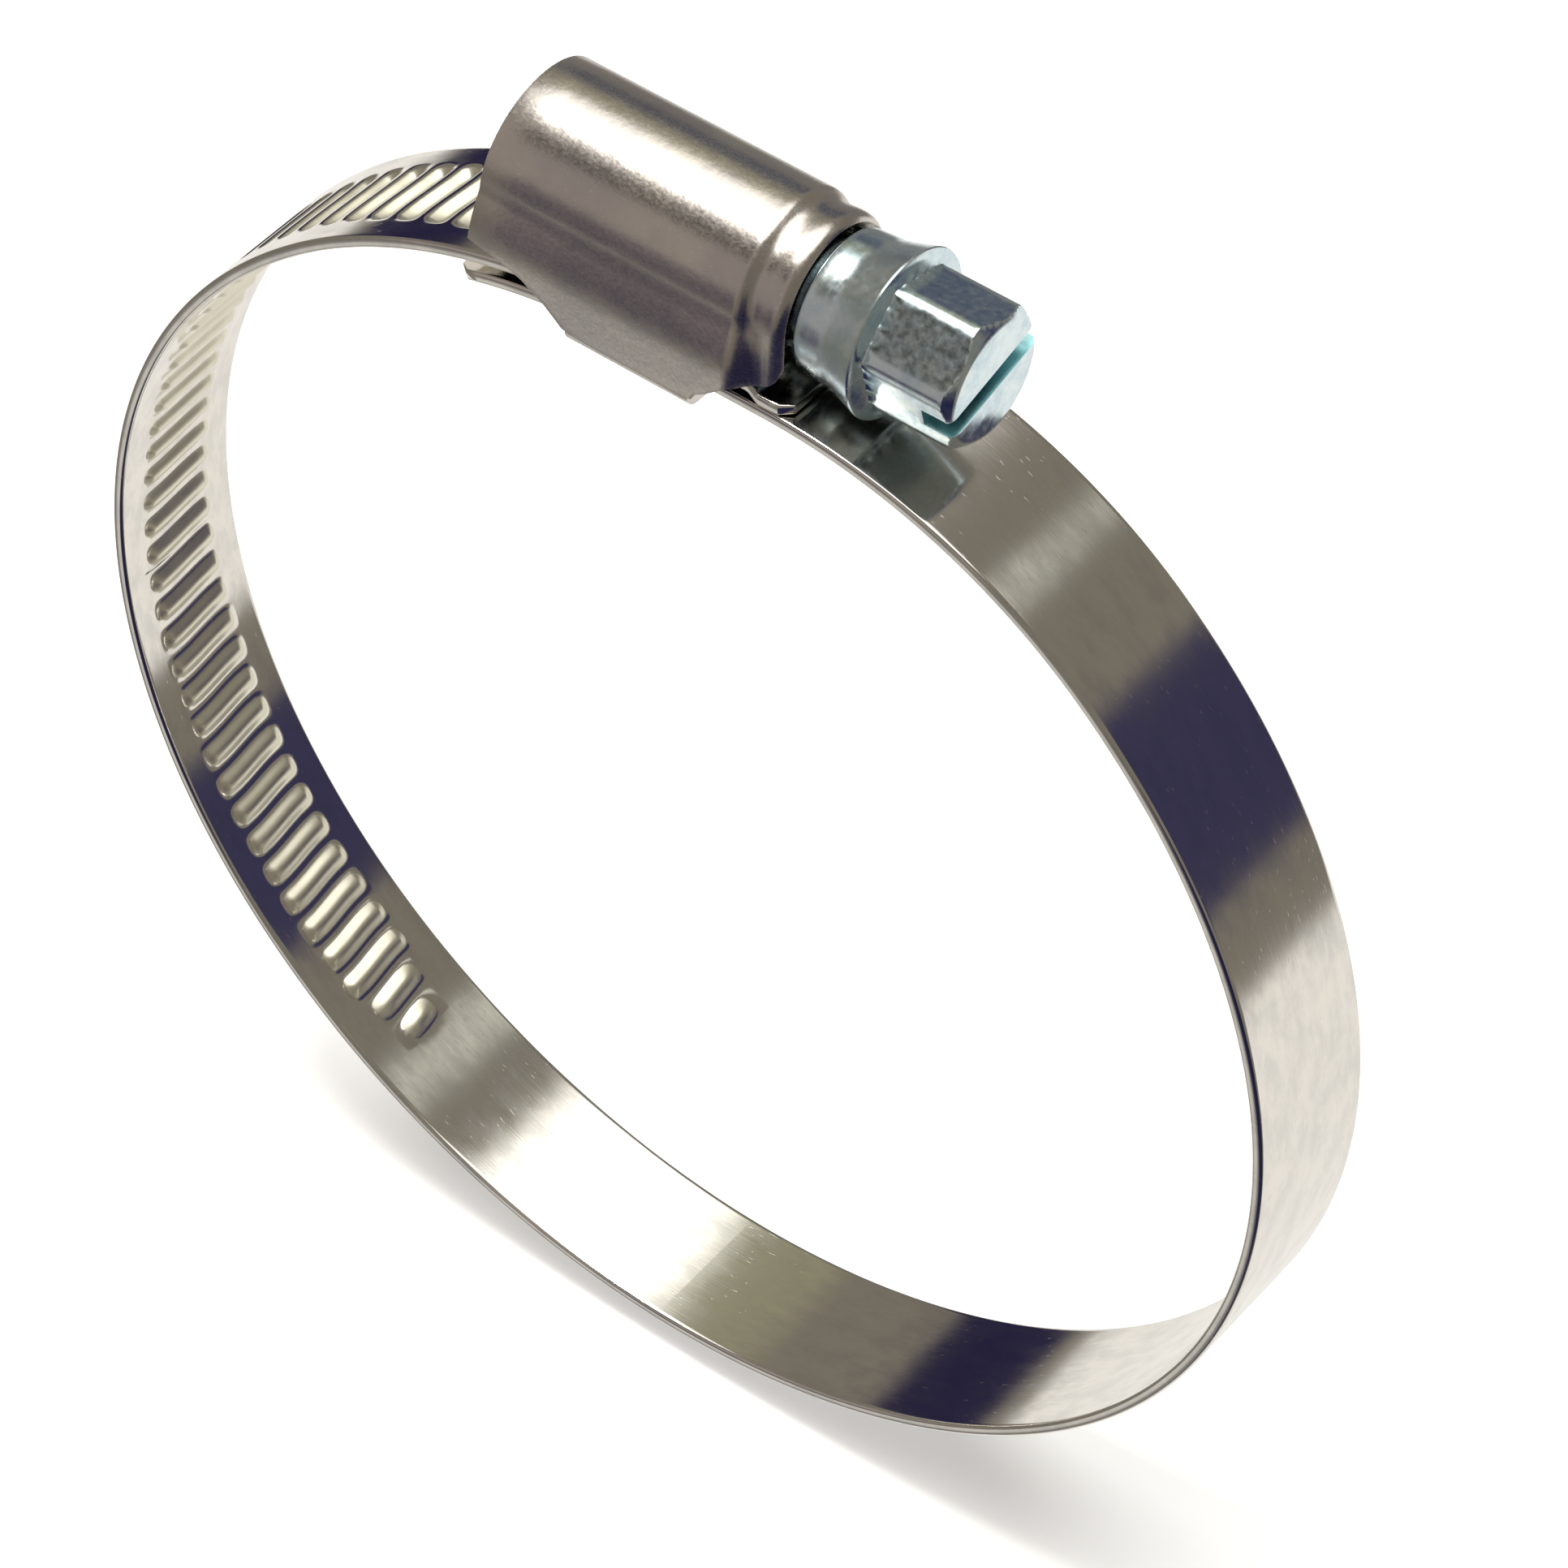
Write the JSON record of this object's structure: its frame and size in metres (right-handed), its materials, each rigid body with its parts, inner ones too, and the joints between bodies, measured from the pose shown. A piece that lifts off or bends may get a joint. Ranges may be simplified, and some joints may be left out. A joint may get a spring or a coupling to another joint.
{
  "type": "worm-drive hose clamp",
  "caption": "Worm-drive hose clamp: a steel band loop with pressed threads, a folded housing and a hexagon-head worm screw with a slot.",
  "frame": {"origin": "centre of the band loop, on the axis of the hose", "axes": "+Y along the hose axis, +X along the screw axis towards its head, +Z from the loop's centre to the housing"},
  "size_m": [0.0782, 0.011, 0.0855],
  "materials": {
    "band_steel": "polished",
    "housing_steel": "satin",
    "screw_zinc": "bright zinc plate"
  },
  "bodies": {
    "root": {"housing": "housing_steel", "band_fixed_end": "band_steel"},
    "worm_screw": {"worm_screw": "screw_zinc"},
    "threaded_end": {"band_threaded_end": "band_steel"},
    "left_1": {"band_left_1": "band_steel"},
    "left_2": {"band_left_2": "band_steel"},
    "left_3": {"band_left_3": "band_steel"},
    "left_4": {"band_left_4": "band_steel"},
    "right_1": {"band_right_1": "band_steel"},
    "right_2": {"band_right_2": "band_steel"}
  },
  "joints": [
    {"name": "strip_slide", "type": "slide", "parent": "root", "child": "threaded_end", "axis": [1, 0, 0], "range_m": [-0.0042, 0.00158]},
    {"name": "screw_turn", "type": "hinge", "parent": "root", "child": "worm_screw", "pos_m": [0, 0, 0.04165], "axis": [-1, 0, 0], "range_deg": [-725, 275]},
    {"name": "left_1_flex", "type": "hinge", "parent": "threaded_end", "child": "left_1", "pos_m": [-0.003, 0, 0.0377], "axis": [0, -1, 0], "range_deg": [-2.91, 7.34]},
    {"name": "left_2_flex", "type": "hinge", "parent": "left_1", "child": "left_2", "pos_m": [-0.02269, 0, 0.03141], "axis": [0, -1, 0], "range_deg": [-1.48, 0.71]},
    {"name": "left_3_flex", "type": "hinge", "parent": "left_2", "child": "left_3", "pos_m": [-0.03708, 0, 0.01126], "axis": [0, -1, 0], "range_deg": [-1.5, 0.72]},
    {"name": "left_4_flex", "type": "hinge", "parent": "left_3", "child": "left_4", "pos_m": [-0.03555, 0, -0.01543], "axis": [0, -1, 0], "range_deg": [-1.8, 0.83]},
    {"name": "right_1_flex", "type": "hinge", "parent": "root", "child": "right_1", "pos_m": [0.0259, 0, 0.02882], "axis": [0, -1, 0], "range_deg": [-0.65, 1.31]},
    {"name": "right_2_flex", "type": "hinge", "parent": "right_1", "child": "right_2", "pos_m": [0.03641, 0, -0.01325], "axis": [0, -1, 0], "range_deg": [-0.98, 2.2]}
  ],
  "couplings": [
    {"joint": "screw_turn", "follows": "strip_slide", "rad_per_m": 2992},
    {"joint": "left_1_flex", "follows": "strip_slide", "rad_per_m": -29.457},
    {"joint": "left_2_flex", "follows": "strip_slide", "rad_per_m": 5.1021},
    {"joint": "left_3_flex", "follows": "strip_slide", "rad_per_m": 5.2021},
    {"joint": "left_4_flex", "follows": "strip_slide", "rad_per_m": 6.448},
    {"joint": "right_1_flex", "follows": "strip_slide", "rad_per_m": -4.4096},
    {"joint": "right_2_flex", "follows": "strip_slide", "rad_per_m": -8.0842}
  ]
}
